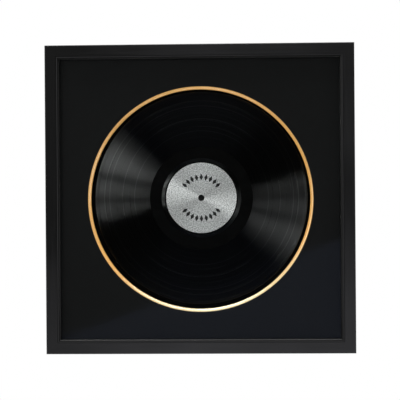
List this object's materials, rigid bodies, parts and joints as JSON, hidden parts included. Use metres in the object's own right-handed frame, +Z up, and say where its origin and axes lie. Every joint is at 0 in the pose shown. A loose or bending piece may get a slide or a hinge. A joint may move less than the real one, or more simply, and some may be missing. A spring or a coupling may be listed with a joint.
{
  "type": "vinyl record frame",
  "caption": "Square black wall frame with glass, a black mat with a round gold-lined window, and a vinyl record mounted on a hub behind it.",
  "frame": {"origin": "on the wall plane, midway between the inside tops of the two D rings, where the wall hooks bear", "axes": "the glass faces -Y and the wall lies on the +Y side at y = 0; +X is to the right as the viewer sees the front; +Z is up"},
  "size_m": [0.438, 0.0299, 0.438],
  "materials": {
    "frame_black": "satin black lacquer on wood",
    "clear_glass": "clear float glass, edges cut",
    "mat_black": "matte black mat board",
    "mount_black": "matte black mat board",
    "foam_black": "black foam board, cut strips",
    "foam_white": "white foam board",
    "fibre_board": "bare brown fibreboard",
    "gold_metal": "satin gold, turned",
    "vinyl_black": "gloss black, grooved",
    "label_silver": "satin silver paper",
    "hub_black": "matte black moulding",
    "foam_dot": "adhesive foam",
    "zinc_steel": "bright zinc plate",
    "nickel_steel": "nickel plate",
    "bumper_rubber": "soft black rubber"
  },
  "bodies": {
    "frame": {"top_rail": "frame_black", "bottom_rail": "frame_black", "left_rail": "frame_black", "right_rail": "frame_black", "glazing": "clear_glass", "outer_mat": "mat_black", "mount_board": "mount_black", "spacer_top": "foam_black", "spacer_bottom": "foam_black", "spacer_left": "foam_black", "spacer_right": "foam_black", "filler_board": "foam_white", "back_board": "fibre_board", "gold_ring": "gold_metal", "vinyl_record": "vinyl_black", "front_label": "label_silver", "back_label": "label_silver", "record_hub": "hub_black", "foam_dots": "foam_dot", "turn_button_screws": "zinc_steel", "hanger_screws": "zinc_steel", "corner_v_nails": "zinc_steel", "hanger_strap_left": "nickel_steel", "hanger_strap_right": "nickel_steel", "bumper_left": "bumper_rubber", "bumper_right": "bumper_rubber"},
    "turn_button_top_left": {"turn_button_top_left": "zinc_steel"},
    "turn_button_top_right": {"turn_button_top_right": "zinc_steel"},
    "turn_button_bottom_left": {"turn_button_bottom_left": "zinc_steel"},
    "turn_button_bottom_right": {"turn_button_bottom_right": "zinc_steel"},
    "turn_button_left_upper": {"turn_button_left_upper": "zinc_steel"},
    "turn_button_left_lower": {"turn_button_left_lower": "zinc_steel"},
    "turn_button_right_upper": {"turn_button_right_upper": "zinc_steel"},
    "turn_button_right_lower": {"turn_button_right_lower": "zinc_steel"},
    "hanger_ring_left": {"hanger_ring_left": "nickel_steel"},
    "hanger_ring_right": {"hanger_ring_right": "nickel_steel"}
  },
  "joints": [
    {"name": "turn_button_top_left_turn", "type": "hinge", "parent": "frame", "child": "turn_button_top_left", "pos_m": [-0.13, -0.00445, 0.1225], "axis": [0, 1, 0], "continuous": true},
    {"name": "turn_button_top_right_turn", "type": "hinge", "parent": "frame", "child": "turn_button_top_right", "pos_m": [0.13, -0.00445, 0.1225], "axis": [0, 1, 0], "continuous": true},
    {"name": "turn_button_bottom_left_turn", "type": "hinge", "parent": "frame", "child": "turn_button_bottom_left", "pos_m": [-0.13, -0.00445, -0.3005], "axis": [0, 1, 0], "continuous": true},
    {"name": "turn_button_bottom_right_turn", "type": "hinge", "parent": "frame", "child": "turn_button_bottom_right", "pos_m": [0.13, -0.00445, -0.3005], "axis": [0, 1, 0], "continuous": true},
    {"name": "turn_button_left_upper_turn", "type": "hinge", "parent": "frame", "child": "turn_button_left_upper", "pos_m": [-0.2115, -0.00445, 0.041], "axis": [0, 1, 0], "continuous": true},
    {"name": "turn_button_left_lower_turn", "type": "hinge", "parent": "frame", "child": "turn_button_left_lower", "pos_m": [-0.2115, -0.00445, -0.219], "axis": [0, 1, 0], "continuous": true},
    {"name": "turn_button_right_upper_turn", "type": "hinge", "parent": "frame", "child": "turn_button_right_upper", "pos_m": [0.2115, -0.00445, 0.041], "axis": [0, 1, 0], "continuous": true},
    {"name": "turn_button_right_lower_turn", "type": "hinge", "parent": "frame", "child": "turn_button_right_lower", "pos_m": [0.2115, -0.00445, -0.219], "axis": [0, 1, 0], "continuous": true},
    {"name": "hanger_ring_left_swing", "type": "hinge", "parent": "frame", "child": "hanger_ring_left", "pos_m": [-0.2115, -0.0029, -0.0099], "axis": [-1, 0, 0], "range_deg": [0, 178]},
    {"name": "hanger_ring_right_swing", "type": "hinge", "parent": "frame", "child": "hanger_ring_right", "pos_m": [0.2115, -0.0029, -0.0099], "axis": [-1, 0, 0], "range_deg": [0, 178]}
  ]
}
